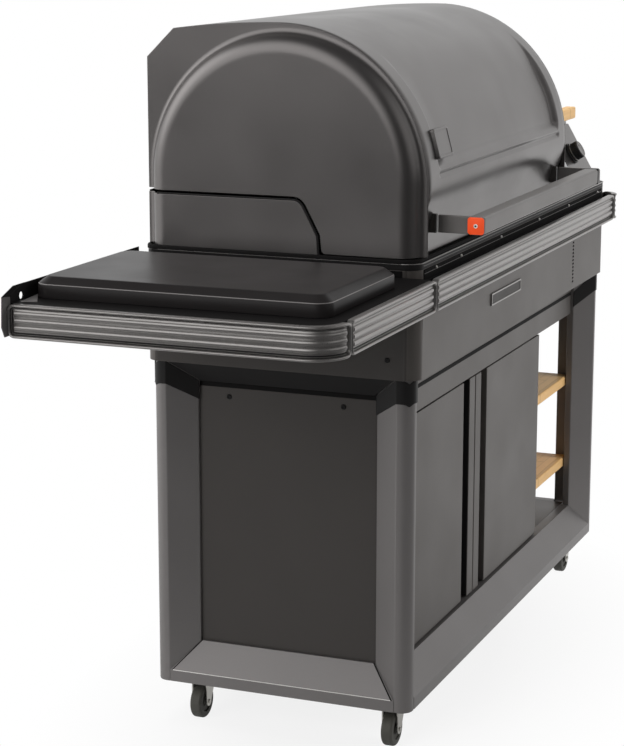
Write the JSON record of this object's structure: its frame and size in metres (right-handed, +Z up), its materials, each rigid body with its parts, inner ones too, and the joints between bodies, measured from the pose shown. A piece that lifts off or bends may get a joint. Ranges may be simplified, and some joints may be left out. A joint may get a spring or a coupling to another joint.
{
  "type": "barbecue grill",
  "caption": "Wheeled cabinet barbecue with a barrel lid, pellet hopper with controller, side shelf with covered cooktop, doors, open bay with bamboo shelves and accessory rails.",
  "frame": {"origin": "middle of the overall box in plan, on the floor under the wheels", "axes": "+X to the hopper end, the front faces -Y, +Z up"},
  "size_m": [1.766, 0.632, 1.304],
  "materials": {
    "frame_grey": "satin grey powder coat",
    "panel_grey": "satin warm grey powder coat",
    "lid_grey": "satin grey metallic coat",
    "handle_steel": "brushed along the bar",
    "cap_orange": "smooth orange",
    "black_trim": "satin black",
    "rail_silver": "brushed grey, with ribs",
    "shelf_grey": "dark satin coat",
    "bamboo": "oiled bamboo",
    "zinc": "zinc plated",
    "wheel_rubber": "grey-black tread",
    "lever_black": "satin black",
    "tub_enamel": "black enamel",
    "grate_iron": "enamelled bars",
    "rack_chrome": "plated wire",
    "inner_steel": "plain sheet",
    "fan_black": "moulded",
    "control_black": "fine texture",
    "screen": "gloss black"
  },
  "bodies": {
    "cabinet": {"corner_posts": "frame_grey", "base_sills": "frame_grey", "left_side_panel": "panel_grey", "back_panel": "panel_grey", "bay_divider": "panel_grey", "floor_panel": "panel_grey", "lower_housing": "panel_grey", "housing_deck": "panel_grey", "wall_hinge_leaves": "lid_grey", "barrel_shell": "lid_grey", "post_caps": "black_trim", "top_headers": "black_trim", "shelf_rear_guard": "black_trim", "rail_channel": "black_trim", "front_rail": "rail_silver", "shelf_front_rail": "rail_silver", "side_rail": "rail_silver", "right_corner_rail": "rail_silver", "side_shelf": "shelf_grey", "bamboo_shelves": "bamboo", "caster_plates": "zinc", "hinge_pins": "zinc", "barrel_tub": "tub_enamel", "drip_tray": "tub_enamel", "cooking_grate": "grate_iron", "upper_rack": "rack_chrome", "fire_pot": "inner_steel", "auger_tube": "inner_steel", "auger_motor": "inner_steel", "hopper_bin": "inner_steel", "grease_keg": "inner_steel", "fan_housing": "fan_black", "control_housing": "control_black", "induction_unit": "control_black", "display_panel": "screen", "cooktop_glass": "screen"},
    "lid": {"lid_skin": "lid_grey", "lid_left_end": "lid_grey", "lid_right_end": "lid_grey", "lid_handle": "handle_steel", "handle_end_caps": "cap_orange", "lid_hinge_leaves": "lid_grey"},
    "left_door": {"left_door": "panel_grey"},
    "right_door": {"right_door": "panel_grey"},
    "cooktop_cover": {"cooktop_cover": "black_trim"},
    "hopper_lid": {"hopper_lid": "lid_grey", "hopper_lid_grip": "bamboo"},
    "control_dial": {"control_dial": "control_black"},
    "auger": {"auger_screw": "inner_steel"},
    "fan": {"fan_wheel": "fan_black"},
    "caster_front_left": {"caster_fork_front_left": "zinc"},
    "wheel_front_left": {"caster_wheel_front_left": "wheel_rubber"},
    "caster_rear_left": {"caster_fork_rear_left": "zinc"},
    "wheel_rear_left": {"caster_wheel_rear_left": "wheel_rubber"},
    "caster_front_right": {"caster_fork_front_right": "zinc"},
    "wheel_front_right": {"caster_wheel_front_right": "wheel_rubber"},
    "caster_rear_right": {"caster_fork_rear_right": "zinc"},
    "wheel_rear_right": {"caster_wheel_rear_right": "wheel_rubber"},
    "brake_front_left": {"brake_lever_front_left": "lever_black"},
    "brake_rear_left": {"brake_lever_rear_left": "lever_black"}
  },
  "joints": [
    {"name": "lid_hinge", "type": "hinge", "parent": "cabinet", "child": "lid", "pos_m": [0.07, 0.31, 1.004], "axis": [-1, 0, 0], "range_deg": [0, 85]},
    {"name": "left_door_hinge", "type": "hinge", "parent": "cabinet", "child": "left_door", "pos_m": [-0.313, -0.162, 0.38], "axis": [0, 0, -1], "range_deg": [0, 95]},
    {"name": "right_door_hinge", "type": "hinge", "parent": "cabinet", "child": "right_door", "pos_m": [0.537, -0.162, 0.38], "axis": [0, 0, 1], "range_deg": [0, 95]},
    {"name": "hopper_lid_hinge", "type": "hinge", "parent": "cabinet", "child": "hopper_lid", "pos_m": [0.712, 0.297, 1.04], "axis": [-1, 0, 0], "range_deg": [0, 80]},
    {"name": "cooktop_cover_lift", "type": "slide", "parent": "cabinet", "child": "cooktop_cover", "axis": [0, 0, 1], "range_m": [0, 0.15]},
    {"name": "dial_turn", "type": "hinge", "parent": "cabinet", "child": "control_dial", "pos_m": [0.782, -0.16807, 0.96759], "axis": [0, -0.8665, 0.4991], "continuous": true},
    {"name": "auger_turn", "type": "hinge", "parent": "cabinet", "child": "auger", "pos_m": [0.4, 0.04, 0.808], "axis": [1, 0, 0], "continuous": true},
    {"name": "fan_turn", "type": "hinge", "parent": "cabinet", "child": "fan", "pos_m": [0.69, 0.19, 0.72], "axis": [0, 0, 1], "continuous": true},
    {"name": "caster_swivel_front_left", "type": "hinge", "parent": "cabinet", "child": "caster_front_left", "pos_m": [-0.339, -0.164, 0.0766], "axis": [0, 0, 1], "continuous": true},
    {"name": "wheel_roll_front_left", "type": "hinge", "parent": "caster_front_left", "child": "wheel_front_left", "pos_m": [-0.355, -0.164, 0.032], "axis": [0, 1, 0], "continuous": true},
    {"name": "caster_swivel_rear_left", "type": "hinge", "parent": "cabinet", "child": "caster_rear_left", "pos_m": [-0.339, 0.218, 0.0766], "axis": [0, 0, 1], "continuous": true},
    {"name": "wheel_roll_rear_left", "type": "hinge", "parent": "caster_rear_left", "child": "wheel_rear_left", "pos_m": [-0.355, 0.218, 0.032], "axis": [0, 1, 0], "continuous": true},
    {"name": "caster_swivel_front_right", "type": "hinge", "parent": "cabinet", "child": "caster_front_right", "pos_m": [0.81, -0.164, 0.0766], "axis": [0, 0, 1], "continuous": true},
    {"name": "wheel_roll_front_right", "type": "hinge", "parent": "caster_front_right", "child": "wheel_front_right", "pos_m": [0.794, -0.164, 0.032], "axis": [0, 1, 0], "continuous": true},
    {"name": "caster_swivel_rear_right", "type": "hinge", "parent": "cabinet", "child": "caster_rear_right", "pos_m": [0.81, 0.218, 0.0766], "axis": [0, 0, 1], "continuous": true},
    {"name": "wheel_roll_rear_right", "type": "hinge", "parent": "caster_rear_right", "child": "wheel_rear_right", "pos_m": [0.794, 0.218, 0.032], "axis": [0, 1, 0], "continuous": true},
    {"name": "brake_tip_front_left", "type": "hinge", "parent": "caster_front_left", "child": "brake_front_left", "pos_m": [-0.339, -0.142, 0.066], "axis": [-1, 0, 0], "range_deg": [0, 18]},
    {"name": "brake_tip_rear_left", "type": "hinge", "parent": "caster_rear_left", "child": "brake_rear_left", "pos_m": [-0.339, 0.24, 0.066], "axis": [-1, 0, 0], "range_deg": [0, 18]}
  ]
}
